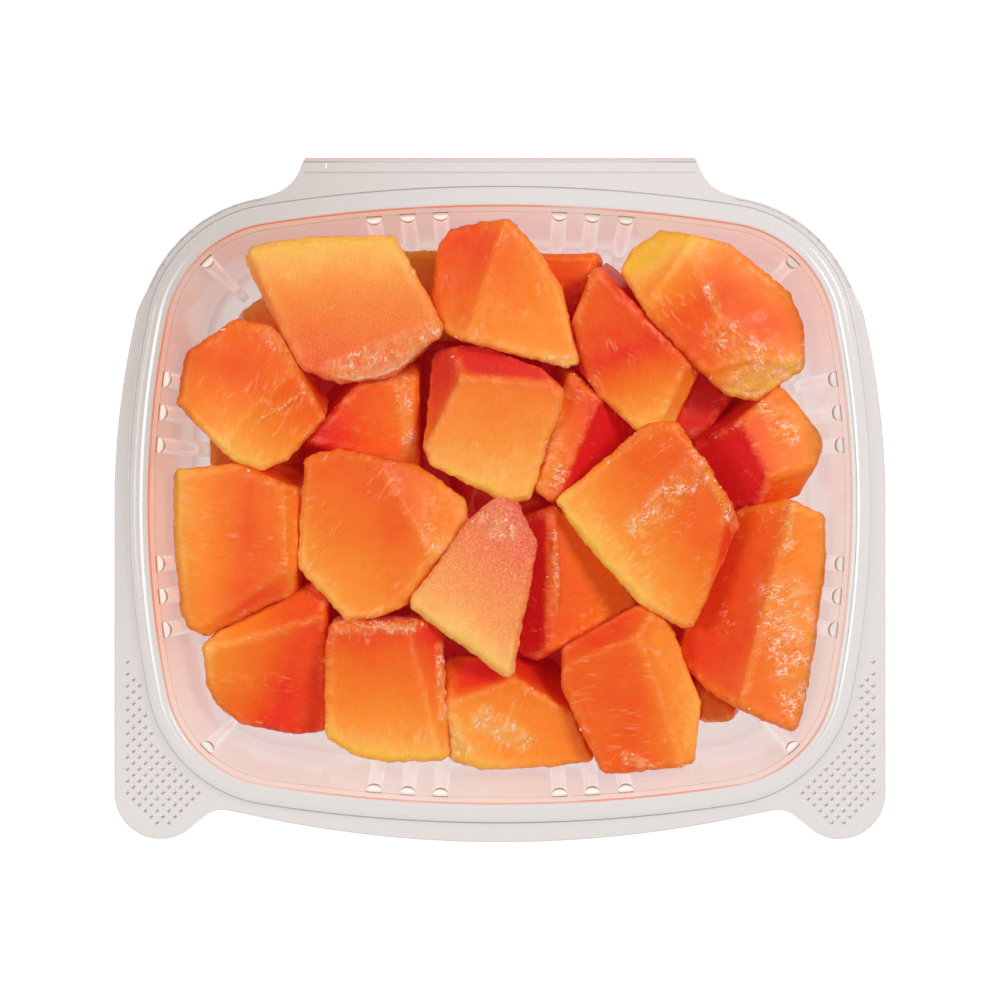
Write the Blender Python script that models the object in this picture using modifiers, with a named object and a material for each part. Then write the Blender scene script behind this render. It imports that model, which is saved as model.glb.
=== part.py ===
"""A clear thermoformed tub, open at the top, filled with hand-cut chunks of ripe papaya.

Metres, +Z up. The origin lies on the table under the middle of the flange, and +Y points to the
hinge strip at the back. The driving sizes below are in millimetres, and angles are in degrees.
"""

import math

import bmesh
import bpy
from mathutils import Vector

MM = 0.001

# Tub height, sheet thickness and the levels of its steps
RIM_HEIGHT = 46.0
SHEET = 0.6
FLANGE_HEIGHT = 42.9
LUG_SHELF_HEIGHT = 40.0
HEEL_RADIUS = 5.0
HEEL_SLOPE = 45.0

# The opening: four bowed sides, the long ones flatter, and round corners
OPENING_HALF_X = 83.75
OPENING_HALF_Y = 71.25
OPENING_MIDDLE_Y = -1.1
LONG_SIDE_BOW = 357.0
SHORT_SIDE_BOW = 225.0
CORNER_RADIUS = 28.0

# How far each step of the wall lies outside the edge of the opening
FLOOR_STEP = -12.0
WALL_FOOT_STEP = -7.05
WALL_TOP_STEP = -1.6
BEAD_LAND_STEP = 3.0
BEAD_FOOT_STEP = 4.8
SIDE_FLANGE_STEP = 8.25
CORNER_FLANGE_STEP = 6.4
SIDE_FLANGE_SPAN = 25.0

# Stacking lugs: upright half-round ribs, six on each side and one in each corner
LUG_OFFSETS = (-30.3, -22.2, -14.3, 14.3, 22.2, 30.3)
LUG_HALF_WIDTH = 1.9
LUG_HALF_TIP = 1.0
LUG_DEPTH = 2.0
LUG_TOP_DROP = 0.15
LUG_TOP_STEP = 0.05

# Upright columns of the wall: how many each side and corner has, and the least distance between two,
# at a key point of the flange and elsewhere
SIDE_COLUMNS = 10
CORNER_COLUMNS = 7
KEY_SPACING = 0.7
COLUMN_SPACING = 2.2

# Flange: a hinge strip at the back and a round grip tab at each front corner
FLANGE_HALF_X = 92.0
FLANGE_FRONT_Y = -81.65
FLANGE_FRONT_BOW = 277.0
HINGE_Y = 81.65
HINGE_HALF_X = 46.9
HINGE_END_RADIUS = 10.3
HINGE_END_MIDDLE_Y = 82.8
HINGE_END_HEADINGS = (198, 214, 232, 250)
SHOULDER_STEPS = 12
TAB_RADIUS = 11.1
TAB_MIDDLE_Y = -69.8
TAB_HEADINGS = (0, -20, -40, -60, -80, -100, -120, -140)
NOTCH_RADIUS = 6.7
NOTCH_MIDDLE = (66.3, -80.6)
NOTCH_HEADINGS = (50, 70, 90, 110)
FRONT_EDGE_X = (56.0, 42.0, 28.0, 14.0)
TABS_BELOW_Y = -60.0
HINGE_ABOVE_Y = 70.0

# Chunks: knife edges are barely rounded, and nothing touches its neighbour. A plan is the chunk's
# outline at a level a little under its top, where the cut edges sag outwards by the swell.
EDGE_ROUNDING = 1.3
EDGE_SWELL = 0.5
PLAN_DROP = 3.0
CHUNK_GAP = 0.35
FLOOR_REST = SHEET + CHUNK_GAP
WALL_GAP = 2.5
CORNER_GAP = 2.5
HEEL_GAP = 1.2
WALL_CUTS_PER_ARC = 8
UNCUT_SIZE = 600.0
CORNER_WELD = 0.12

CLEAR_PLASTIC = (0.90, 0.88, 0.87)
YELLOW_FLESH = (0.90, 0.42, 0.09)
ORANGE_FLESH = (0.86, 0.22, 0.04)
RED_FLESH = (0.72, 0.08, 0.02)


def clear_scene():
    for thing in list(bpy.data.objects):
        bpy.data.objects.remove(thing)


def collection_named(name):
    collection = bpy.data.collections.new(name)
    bpy.context.scene.collection.children.link(collection)
    return collection


def material_named(name, colour, roughness, transmission=0.0):
    material = bpy.data.materials.new(name)
    material.use_nodes = True
    shader = material.node_tree.nodes["Principled BSDF"]
    shader.inputs["Base Color"].default_value = (*colour, 1.0)
    shader.inputs["Roughness"].default_value = roughness
    shader.inputs["Metallic"].default_value = 0.0
    shader.inputs["Transmission Weight"].default_value = transmission
    return material


def object_from(bm, name, collection, material):
    mesh = bpy.data.meshes.new(name)
    bm.to_mesh(mesh)
    bm.free()
    thing = bpy.data.objects.new(name, mesh)
    thing.data.materials.append(material)
    collection.objects.link(thing)
    return thing


def heading(degrees):
    angle = math.radians(degrees)
    return Vector((math.cos(angle), math.sin(angle)))


def degrees_of(vector):
    return math.degrees(math.atan2(vector.y, vector.x))


# The opening's outline


def corner_middle():
    """Where a corner arc's centre lies, so that the arc runs smoothly into both bowed sides."""
    long_reach = LONG_SIDE_BOW - CORNER_RADIUS
    short_reach = SHORT_SIDE_BOW - CORNER_RADIUS
    long_centre = Vector((0.0, OPENING_HALF_Y - LONG_SIDE_BOW))
    short_centre = Vector((OPENING_HALF_X - SHORT_SIDE_BOW, 0.0))
    across = short_centre - long_centre
    along = (across.length_squared + long_reach**2 - short_reach**2) / (2 * across.length)
    aside = math.sqrt(long_reach**2 - along**2)
    unit = across.normalized()
    return long_centre + unit * along + Vector((unit.y, -unit.x)) * aside


def opening_arcs():
    """The opening's eight arcs, anticlockwise from the right: centre, radius, first and last heading."""
    corner = corner_middle()
    long_centre = Vector((0.0, OPENING_HALF_Y - LONG_SIDE_BOW))
    short_centre = Vector((OPENING_HALF_X - SHORT_SIDE_BOW, 0.0))
    low = degrees_of(corner - short_centre)
    high = degrees_of(corner - long_centre)
    arcs = []
    for quarter in range(4):
        turned = 90 * quarter
        wide = quarter % 2 == 0
        side = short_centre if wide else long_centre
        reach = abs(side.x + side.y)
        half = low if wide else 90 - high
        centre = -heading(turned) * reach
        radius = SHORT_SIDE_BOW if wide else LONG_SIDE_BOW
        arcs.append((centre, radius, turned - half, turned + half))
        mirror = Vector((1 if quarter in (0, 3) else -1, 1 if quarter < 2 else -1))
        middle = Vector((corner.x * mirror.x, corner.y * mirror.y))
        next_half = 90 - high if wide else low
        arcs.append((middle, CORNER_RADIUS, turned + half, turned + 90 - next_half))
    return [(c + Vector((0, OPENING_MIDDLE_Y)), r, first, last) for c, r, first, last in arcs]


def flange_outline():
    """The flange's outer edge as points, anticlockwise from the right end of the hinge strip."""
    hinge_middle_x = HINGE_HALF_X + HINGE_END_RADIUS
    hinge_middle = Vector((hinge_middle_x, HINGE_END_MIDDLE_Y))
    hinge_end = [Vector((HINGE_HALF_X, HINGE_Y))]
    for angle in HINGE_END_HEADINGS:
        hinge_end.append(hinge_middle + heading(angle) * HINGE_END_RADIUS)
    shoulder = []
    for centre, radius, first, last in opening_arcs()[:2]:
        for step in range(SHOULDER_STEPS + 1):
            angle = first + (last - first) * step / SHOULDER_STEPS
            widening = math.cos(math.radians(90 * min(abs(angle) / SIDE_FLANGE_SPAN, 1.0))) ** 2
            flange_step = CORNER_FLANGE_STEP + (SIDE_FLANGE_STEP - CORNER_FLANGE_STEP) * widening
            shoulder.append(centre + heading(angle) * (radius + flange_step))
    shoulder = [p for p in shoulder if p.y > 0]
    tab_middle = Vector((FLANGE_HALF_X - TAB_RADIUS, TAB_MIDDLE_Y))
    tab = [tab_middle + heading(angle) * TAB_RADIUS for angle in TAB_HEADINGS]
    notch = [Vector(NOTCH_MIDDLE) + heading(angle) * NOTCH_RADIUS for angle in NOTCH_HEADINGS]
    front = []
    for x in FRONT_EDGE_X:
        drop = FLANGE_FRONT_BOW - math.sqrt(FLANGE_FRONT_BOW**2 - x**2)
        front.append(Vector((x, FLANGE_FRONT_Y + drop)))
    right = hinge_end + shoulder[::-1] + tab + notch + front
    left = [Vector((-p.x, p.y)) for p in reversed(right)]
    return right + [Vector((0, FLANGE_FRONT_Y))] + left


def outline_keys():
    """Points that the flange needs a column at: the hinge strip's ends, the tabs and the notches."""
    hinge_reach = HINGE_HALF_X + HINGE_END_RADIUS
    points = flange_outline()
    tabs = [p for p in points if p.y < TABS_BELOW_Y]
    return tabs + [p for p in points if p.y > HINGE_ABOVE_Y and abs(p.x) < hinge_reach]


def reach_to_outline(centre, direction, outline, least):
    """How far the flange's edge lies from a centre, looking along a direction past the bead."""
    nearest = None
    for start, end in zip(outline, outline[1:] + outline[:1]):
        edge = end - start
        cross = direction.x * edge.y - direction.y * edge.x
        if abs(cross) < 1e-9:
            continue
        gap = start - centre
        along = (gap.x * edge.y - gap.y * edge.x) / cross
        share = (gap.x * direction.y - gap.y * direction.x) / cross
        if -1e-6 <= share <= 1 + 1e-6 and along > least and (nearest is None or along < nearest):
            nearest = along
    return nearest


def columns():
    """Each upright column of the tub's wall: its arc's centre and radius, its heading and its lug depth."""
    keys = outline_keys()
    found = []
    for number, (centre, radius, first, last) in enumerate(opening_arcs()):
        middle = (first + last) / 2
        lugs = LUG_OFFSETS if number % 2 == 0 else (0.0,)
        angles = {}
        for offset in lugs:
            for side in (-1, 1):
                edge = middle + math.degrees((offset + side * LUG_HALF_WIDTH) / radius)
                tip = middle + math.degrees((offset + side * LUG_HALF_TIP) / radius)
                angles[edge] = 0.0
                angles[tip] = LUG_DEPTH
        steps = SIDE_COLUMNS if number % 2 == 0 else CORNER_COLUMNS
        plain = []
        for key in keys:
            angle = degrees_of(key - centre)
            while angle < first:
                angle += 360
            if first < angle < last:
                plain.append((angle, KEY_SPACING))
        plain += [(first + (last - first) * step / steps, COLUMN_SPACING) for step in range(steps)]
        for angle, spacing in plain:
            spacing = math.degrees(spacing / radius)
            clear_of_others = all(abs(angle - taken) > spacing for taken in angles)
            if angle == first or (clear_of_others and first + spacing < angle < last - spacing):
                angles[angle] = 0.0
        found += [(centre, radius, angle, angles[angle]) for angle in sorted(angles)]
    return found


def tub_rings():
    """Each ring of the tub's inner face, floor first: step outside the opening, height, and lug share."""
    heel_middle = SHEET + HEEL_RADIUS
    heel_run = HEEL_RADIUS * math.sin(math.radians(HEEL_SLOPE))
    return (
        (FLOOR_STEP, SHEET, 0.0),
        (FLOOR_STEP + heel_run, heel_middle - heel_run, 0.0),
        (WALL_FOOT_STEP, heel_middle, 1.0),
        (WALL_TOP_STEP - LUG_TOP_STEP, LUG_SHELF_HEIGHT - LUG_TOP_DROP, 1.0),
        (WALL_TOP_STEP, LUG_SHELF_HEIGHT + LUG_TOP_DROP, 0.0),
        (0.0, RIM_HEIGHT, 0.0),
        (BEAD_LAND_STEP, RIM_HEIGHT, 0.0),
        (BEAD_FOOT_STEP, FLANGE_HEIGHT, 0.0),
    )


def build_tub(collection):
    outline = flange_outline()
    standing = columns()
    bm = bmesh.new()
    rings = []
    for step, height, lug_share in tub_rings():
        ring = []
        for centre, radius, angle, lug in standing:
            spot = centre + heading(angle) * (radius + step - lug * lug_share)
            ring.append(bm.verts.new((spot.x * MM, spot.y * MM, height * MM)))
        rings.append(ring)
    edge = []
    for centre, radius, angle, _ in standing:
        direction = heading(angle)
        reach = reach_to_outline(centre, direction, outline, radius + BEAD_FOOT_STEP)
        spot = centre + direction * reach
        edge.append(bm.verts.new((spot.x * MM, spot.y * MM, FLANGE_HEIGHT * MM)))
    rings.append(edge)
    bm.faces.new(rings[0])
    count = len(standing)
    for lower, upper in zip(rings, rings[1:]):
        for i in range(count):
            j = (i + 1) % count
            bm.faces.new((lower[j], lower[i], upper[i], upper[j]))
    material = material_named("clear_plastic", CLEAR_PLASTIC, 0.08, transmission=0.9)
    tub = object_from(bm, "tub", collection, material)
    tub.data.shade_smooth()
    tub.data.set_sharp_from_angle(angle=math.radians(30))
    shell = tub.modifiers.new("sheet", "SOLIDIFY")
    shell.thickness = SHEET * MM
    shell.offset = -1.0
    shell.use_even_offset = True
    return tub


# Chunks of fruit


def slice_off(bm, normal, reach):
    """Cuts away what lies beyond a plane and closes the cut, as one stroke of a knife does."""
    everything = bm.verts[:] + bm.edges[:] + bm.faces[:]
    cut = bmesh.ops.bisect_plane(
        bm,
        geom=everything,
        dist=1e-5,
        plane_co=normal * reach,
        plane_no=normal,
        clear_outer=True,
    )
    rim = [e for e in cut["geom_cut"] if isinstance(e, bmesh.types.BMEdge) and e.is_boundary]
    if rim:
        bmesh.ops.edgeloop_fill(bm, edges=rim)


def cut_block(cuts, inset=0.0):
    """A block cut by every plane in turn, each moved inwards by the inset."""
    bm = bmesh.new()
    bmesh.ops.create_cube(bm, size=UNCUT_SIZE)
    for normal, reach in cuts:
        slice_off(bm, normal, reach - inset)
    return bm


def corners_of(cuts):
    bm = cut_block(cuts)
    points = [v.co.copy() for v in bm.verts]
    bm.free()
    return points


def side_cuts(plan, level, flare):
    """One upright cut outside each edge of a plan at a level, spreading downwards by the flare."""
    cuts = []
    for start, end in zip(plan, plan[1:] + plan[:1]):
        along = Vector(end) - Vector(start)
        outward = Vector((along.y, -along.x)).normalized()
        lean = math.radians(flare)
        normal = Vector((*(outward * math.cos(lean)), math.sin(lean)))
        cuts.append((normal, normal.dot(Vector((*start, level))) + EDGE_SWELL))
    return cuts


def top_cut(x, y, z, fall, slope):
    """A cut through a point of the top, falling towards a heading."""
    lean = math.radians(slope)
    normal = Vector((*(heading(fall) * math.sin(lean)), math.cos(lean)))
    return normal, normal.dot(Vector((x, y, z)))


def wall_cuts(side_gap, corner_gap):
    """Cuts that keep a chunk inside the tub's leaning wall and clear of its rounded heel."""
    run = WALL_TOP_STEP - WALL_FOOT_STEP
    rise = LUG_SHELF_HEIGHT - SHEET - HEEL_RADIUS
    lean = math.atan2(run, rise)
    heel = (HEEL_RADIUS - HEEL_GAP) * math.sin(math.radians(HEEL_SLOPE))
    cuts = []
    for centre, radius, first, last in opening_arcs():
        gap = corner_gap if radius == CORNER_RADIUS else side_gap
        for step in range(WALL_CUTS_PER_ARC):
            direction = heading(first + (last - first) * (step + 0.5) / WALL_CUTS_PER_ARC)
            spot = centre + direction * (radius + WALL_TOP_STEP - gap)
            normal = Vector((*(direction * math.cos(lean)), -math.sin(lean)))
            cuts.append((normal, normal.dot(Vector((*spot, LUG_SHELF_HEIGHT)))))
            spot = centre + direction * (radius + FLOOR_STEP + heel)
            normal = Vector((*direction, -1)).normalized()
            cuts.append((normal, normal.dot(Vector((*spot, SHEET + HEEL_RADIUS - heel)))))
    return cuts


def apart(cuts, points):
    """Whether one of the cuts already has all of the points outside it."""
    return any(min(normal.dot(p) for p in points) >= reach + CHUNK_GAP for normal, reach in cuts)


def make_room(cuts, placed):
    """Cuts a chunk back along the face of each earlier chunk that lies against it."""
    for other in placed:
        mine = corners_of(cuts)
        theirs = corners_of(other)
        if apart(other, mine) or apart(cuts, theirs):
            continue
        middle = sum(mine, Vector()) / len(mine)
        normal, reach = max(other, key=lambda cut: cut[0].dot(middle) - cut[1])
        cuts = cuts + [(-normal, -(reach + CHUNK_GAP))]
    return cuts


def faces_that_show(cuts):
    """The cuts that still bound the block, so that a later chunk isn't fitted to one that is gone."""
    points = corners_of(cuts)
    return [cut for cut in cuts if max(cut[0].dot(p) for p in points) > cut[1] - 0.01]


def rounded_block(cuts):
    """The block with each edge and corner taken off by a small radius."""
    core = cut_block(cuts, EDGE_ROUNDING)
    points = []
    for corner in core.verts:
        normals = [face.normal for face in corner.link_faces]
        mean = sum(normals, Vector()).normalized()
        for normal in normals + [mean]:
            points.append((corner.co + normal * EDGE_ROUNDING) * MM)
    core.free()
    bm = bmesh.new()
    for point in points:
        bm.verts.new(point)
    bmesh.ops.remove_doubles(bm, verts=bm.verts[:], dist=CORNER_WELD * MM)
    hull = bmesh.ops.convex_hull(bm, input=bm.verts[:])
    inside = hull["geom_interior"] + hull["geom_unused"]
    spare = {v for v in inside if isinstance(v, bmesh.types.BMVert)}
    bmesh.ops.delete(bm, geom=list(spare), context="VERTS")
    bmesh.ops.dissolve_limit(bm, angle_limit=math.radians(2), verts=bm.verts[:], edges=bm.edges[:])
    bmesh.ops.triangulate(bm, faces=bm.faces[:])
    bmesh.ops.recalc_face_normals(bm, faces=bm.faces[:])
    return bm


# Each chunk: its plan anticlockwise as seen from above at the level of its first top cut, then its top
# cuts (a point on the cut, the heading it falls towards and its slope), how much its sides spread
# downwards, and the level of its foot. The pile is listed from the top down, and each chunk is cut back
# where an earlier one lies against it.
CHUNKS = {
    "chunk_wedge_on_top": dict(
        plan=[(-21, -23.8), (-21, -25.8), (2.3, -42.5), (7.2, -10.3), (2.8, -2), (0, -1.2),
              (-6, -5.5)],
        tops=[(-4, -20, 38, 225, 6)],
        flare=-22,
        foot=22,
        tone=ORANGE_FLESH,
    ),
    "chunk_middle": dict(
        plan=[(-16.7, 37), (-18.3, 13), (-17, 8.5), (2, -1), (7.5, 0), (15, 25.5), (10, 31.5),
              (-4, 37.5)],
        tops=[(-9, 29.5, 40, -72, 14), (-9, 29.5, 40, 160, 56), (-9, 29.5, 40, 81, 48)],
        flare=-8,
        foot=13,
        tone=ORANGE_FLESH,
    ),
    "chunk_right_of_middle": dict(
        plan=[(13, -0.7), (18.5, -7), (29, -21.5), (44, -30.4), (46, -30), (57, -6), (56, -4),
              (41.5, 17.2), (36, 17)],
        tops=[(36, -4, 37.6, 225, 8), (54.5, -8, 37, -20, 50)],
        flare=-14,
        foot=11,
        tone=ORANGE_FLESH,
    ),
    "chunk_back_left": dict(
        plan=[(-60.5, 57), (-47.5, 32), (-38, 28.5), (-26, 30), (-14, 41), (-26, 62.5),
              (-58.5, 61)],
        tops=[(-38, 46, 37.8, -80, 7), (-57, 50, 36.5, 205, 60)],
        flare=-10,
        foot=12,
        tone=YELLOW_FLESH,
    ),
    "chunk_back_right": dict(
        plan=[(29.2, 55), (38, 42.5), (54.5, 25.5), (62, 23.5), (73.6, 32), (73.1, 43),
              (69.6, 50), (53.4, 62), (41.5, 65.8), (32.2, 60.5)],
        tops=[(50, 47, 38.5, -70, 7), (41, 60, 38, 150, 34), (58, 34, 37, -72, 38),
              (53, 45, 38.1, 5, 15)],
        flare=-7,
        foot=FLOOR_REST,
        wall_gap=0.9,
        tone=YELLOW_FLESH,
    ),
    "chunk_back_middle": dict(
        plan=[(-17, 48), (-14, 40.5), (16, 31.8), (20, 32.5), (14.5, 51), (9.5, 58.5),
              (1.5, 67.3), (-12, 65.5), (-15, 62)],
        tops=[(-2.4, 55, 38.5, 163, 28), (-2.4, 55, 38.5, -20, 11)],
        flare=-12,
        foot=13,
        wall_gap=0.8,
        tone=ORANGE_FLESH,
    ),
    "chunk_left_back": dict(
        plan=[(-79, 25.5), (-64, 10), (-58, 7.5), (-51.5, 9.5), (-38.5, 24), (-55, 41),
              (-63.5, 43), (-78.5, 33)],
        tops=[(-60, 26, 37, 150, 7), (-57, 19.5, 36.5, -50, 15)],
        flare=-10,
        foot=12,
        tone=YELLOW_FLESH,
    ),
    "chunk_left_of_middle": dict(
        plan=[(-46, 10), (-47.5, -6), (-48.5, -15.5), (-37, -28.7), (-31, -28.5), (-21, -24),
              (-7.5, -5), (-8.5, 0), (-20, 7.5), (-38.5, 11.5)],
        tops=[(-29, -8, 37.5, 225, 9), (-16, -6, 36.6, 25, 27)],
        flare=-7,
        foot=FLOOR_REST,
        tone=ORANGE_FLESH,
    ),
    "chunk_back_right_leaning": dict(
        plan=[(17, 41), (19, 33), (24, 26), (33.5, 16.8), (41, 17), (48, 32), (36, 59),
              (25, 59.5)],
        tops=[(31, 36, 36, 250, 12), (42, 26, 34.5, -35, 50)],
        flare=-3,
        foot=FLOOR_REST,
        tone=ORANGE_FLESH,
    ),
    "chunk_front_right": dict(
        plan=[(15.3, -36), (15.3, -45), (25.3, -66.5), (27.5, -67.5), (46.3, -63), (48.2, -49),
              (40.5, -30), (37, -26.5), (33, -26)],
        tops=[(30, -46, 35.5, -105, 10), (39.5, -45, 34.8, 5, 32), (26, -34, 36, 120, 40)],
        flare=-3,
        foot=FLOOR_REST,
        tone=ORANGE_FLESH,
    ),
    "chunk_front_left": dict(
        plan=[(-41.2, -38), (-41.5, -57), (-34, -61.5), (-27, -62.5), (-13, -62.3), (-14.3, -32),
              (-18, -26), (-39.5, -26)],
        tops=[(-29, -45, 34.5, -90, 9), (-18, -45, 34, 0, 34)],
        flare=-3,
        foot=FLOOR_REST,
        tone=ORANGE_FLESH,
    ),
    "chunk_right_front": dict(
        plan=[(52, -2.5), (43, -36), (44.5, -40.5), (50, -45.7), (70.5, -55.7), (73, -55.7),
              (76, -47), (78, -15), (77.7, -4), (69.5, -0.7)],
        tops=[(64.5, -24, 37, 165, 36), (64.5, -24, 37, -15, 13)],
        flare=-6,
        foot=FLOOR_REST,
        corner_gap=1.2,
        tone=ORANGE_FLESH,
    ),
    "chunk_left": dict(
        plan=[(-79, 0), (-76, -27), (-74.5, -30.5), (-70.5, -32), (-45, -19.5), (-46.5, 10),
              (-78.5, 6.7)],
        tops=[(-62, -8, 35.5, 200, 5), (-50, -5, 35, 0, 36), (-60, -23, 35, -65, 30)],
        flare=-4,
        foot=FLOOR_REST,
        tone=YELLOW_FLESH,
    ),
    "chunk_red_middle": dict(
        plan=[(2, -6), (-2, -33), (8, -38), (16, -38.5), (34, -27), (22, -8), (13, -2)],
        tops=[(12, -15, 31, 185, 38), (12, -15, 31, -10, 24)],
        flare=2,
        foot=FLOOR_REST,
        tone=RED_FLESH,
    ),
    "chunk_front_middle": dict(
        plan=[(-14, -34), (-12.8, -50), (-12.6, -62.2), (-5, -64.4), (12, -64.4), (24.3, -62.8),
              (17.5, -32)],
        tops=[(-2, -45.5, 32, -70, 13), (-2, -45.5, 32, 110, 34), (12, -44, 31.5, 22, 46)],
        flare=-2,
        foot=FLOOR_REST,
        tone=ORANGE_FLESH,
    ),
    "chunk_left_front": dict(
        plan=[(-70.6, -45), (-67.6, -49.9), (-62.4, -54.1), (-49, -56.7), (-41.5, -56),
              (-39.5, -34), (-39.8, -25), (-44.5, -19), (-66, -30), (-71.2, -35.5)],
        tops=[(-56, -32, 33, 105, 28), (-56, -32, 33, -72, 20)],
        flare=-3,
        foot=FLOOR_REST,
        tone=ORANGE_FLESH,
    ),
    "chunk_right": dict(
        plan=[(42, 20), (55.5, -3), (72, 1.5), (77.5, 12), (77, 15.5), (70.5, 23.5), (62, 34),
              (46, 32)],
        tops=[(62, 15, 34, 35, 12), (59.5, 15, 34, 205, 40), (66, 4, 33, -61, 48)],
        flare=-3,
        foot=FLOOR_REST,
        tone=RED_FLESH,
    ),
    "chunk_behind_middle": dict(
        plan=[(7, 33.5), (4, 0), (12, -3), (24, 5.5), (34, 17), (22, 36)],
        tops=[(20, 16, 33, 157, 14), (20, 16, 33, -23, 46)],
        flare=2,
        foot=FLOOR_REST,
        tone=ORANGE_FLESH,
    ),
    "chunk_left_gap": dict(
        plan=[(-47, 27), (-47, 12.5), (-37, 9.5), (-20.5, 7), (-20.5, 38), (-43, 37)],
        tops=[(-33, 26, 31, -50, 12), (-33, 29, 31, 130, 26)],
        flare=2,
        foot=FLOOR_REST,
        tone=RED_FLESH,
    ),
    "chunk_low_back_right": dict(
        plan=[(5, 59.5), (4, 38), (29, 38), (29, 59.5)],
        tops=[(17, 52, 24, -90, 12)],
        flare=2,
        foot=FLOOR_REST,
        tone=RED_FLESH,
    ),
    "chunk_low_back": dict(
        plan=[(-26, 60), (-27, 42), (2, 38), (2, 60.5)],
        tops=[(-13, 54, 26, 80, 22)],
        flare=2,
        foot=FLOOR_REST,
        tone=YELLOW_FLESH,
    ),
    "chunk_low_back_left": dict(
        plan=[(-64.5, 44.5), (-60, 24), (-31, 28), (-30, 58), (-58, 49)],
        tops=[(-55, 42, 27, 120, 12)],
        flare=2,
        foot=FLOOR_REST,
        tone=ORANGE_FLESH,
    ),
    "chunk_low_left": dict(
        plan=[(-70, 22), (-70, 4), (-49, 4), (-49, 24)],
        tops=[(-60, 14, 27, 180, 8)],
        flare=2,
        foot=FLOOR_REST,
        tone=ORANGE_FLESH,
    ),
    "chunk_low_front_right": dict(
        plan=[(36, -26), (36, -54), (56, -53.5), (58.5, -51.5), (57, -26)],
        tops=[(48, -46, 21, -70, 14)],
        flare=2,
        foot=FLOOR_REST,
        tone=YELLOW_FLESH,
    ),
    "chunk_low_middle": dict(
        plan=[(-22, 8), (-12, -18), (5, -18), (14, -4), (13, 14), (-18, 16)],
        tops=[(-4, -2, 21, -45, 8)],
        flare=2,
        foot=FLOOR_REST,
        tone=RED_FLESH,
    ),
    "chunk_low_under_middle": dict(
        plan=[(-22, 34), (-21, 12), (-14, 6), (6, 6), (9, 32), (10, 38), (-12, 40)],
        tops=[(-6, 22, 12.4, 90, 1)],
        flare=2,
        foot=FLOOR_REST,
        tone=RED_FLESH,
    ),
    "chunk_low_right": dict(
        plan=[(38, 38), (40, 20), (48, 14), (60, 30), (54, 40)],
        tops=[(48, 28, 20, -30, 10)],
        flare=2,
        foot=FLOOR_REST,
        tone=RED_FLESH,
    ),
    "chunk_low_centre": dict(
        plan=[(3, 3), (2, -9), (10, -10), (18, -6), (17, 3)],
        tops=[(10, -3, 15, 90, 2)],
        flare=2,
        foot=FLOOR_REST,
        tone=RED_FLESH,
    ),
}


def build_chunks(collection):
    placed = []
    for name, size in CHUNKS.items():
        tops = [top_cut(*cut) for cut in size["tops"]]
        cuts = side_cuts(size["plan"], size["tops"][0][2] - PLAN_DROP, size["flare"]) + tops
        cuts.append((Vector((0, 0, -1)), -size["foot"]))
        cuts += wall_cuts(size.get("wall_gap", WALL_GAP), size.get("corner_gap", CORNER_GAP))
        cuts = faces_that_show(make_room(faces_that_show(cuts), placed))
        placed.append(cuts)
        material = material_named(f"{name}_flesh", size["tone"], 0.3)
        chunk = object_from(rounded_block(cuts), name, collection, material)
        chunk.data.shade_smooth()
        chunk.data.set_sharp_from_angle(angle=math.radians(50))


clear_scene()
papaya_tub = collection_named("papaya_tub")
build_tub(papaya_tub)
build_chunks(papaya_tub)
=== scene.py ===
"""An open clear plastic tub of ripe papaya chunks, seen from straight above in a white studio.

The scene is in metres, +Z up. Shapes are worked out in millimetres and scaled by MM as they
become meshes. Distances inside a finish are in metres, unless a comment says otherwise.
"""
import math

import bmesh
import bpy
import numpy as np
from mathutils import Matrix, Vector, noise
from mathutils.bvhtree import BVHTree


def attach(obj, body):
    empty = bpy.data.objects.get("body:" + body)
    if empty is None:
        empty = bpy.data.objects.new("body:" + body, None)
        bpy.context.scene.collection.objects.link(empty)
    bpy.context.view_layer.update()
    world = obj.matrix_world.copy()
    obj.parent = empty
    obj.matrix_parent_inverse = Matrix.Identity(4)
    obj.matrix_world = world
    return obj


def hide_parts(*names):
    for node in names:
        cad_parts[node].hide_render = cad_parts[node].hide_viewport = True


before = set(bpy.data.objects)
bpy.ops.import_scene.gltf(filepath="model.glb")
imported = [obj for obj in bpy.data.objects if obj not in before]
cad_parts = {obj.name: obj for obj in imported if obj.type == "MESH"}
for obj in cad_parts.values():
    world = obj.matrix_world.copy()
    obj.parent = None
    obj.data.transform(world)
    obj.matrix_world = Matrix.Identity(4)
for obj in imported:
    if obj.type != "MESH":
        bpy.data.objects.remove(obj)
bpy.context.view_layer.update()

# The tub
#
# One sheet of clear plastic, drawn by vacuum over a mould: a flat floor, leaning walls with
# upright stacking ribs, a raised bead round the opening, and a flat flange with a hinge strip
# at the back and a round grip tab at each front corner.

MM = 0.001
SHEET = 0.6
RIM_HEIGHT = 46.0
FLANGE_HEIGHT = 42.9
SHELF_HEIGHT = 40.0
HEEL_RADIUS = 5.0
OPENING_HALF_X = 83.75
OPENING_HALF_Y = 71.25
OPENING_MIDDLE_Y = -1.1
LONG_SIDE_BOW = 357.0
SHORT_SIDE_BOW = 225.0
CORNER_RADIUS = 28.0
# How far outside the opening each line of the sheet runs
FLOOR_STEP = -12.0
FLOOR_EDGE_STEP = -13.5
WALL_FOOT_STEP = -7.05
WALL_TOP_STEP = -1.6
BEAD_FOOT_STEP = 4.8
SIDE_FLANGE_STEP = 8.25
CORNER_FLANGE_STEP = 6.4
SIDE_FLANGE_SPAN = 25.0
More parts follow.
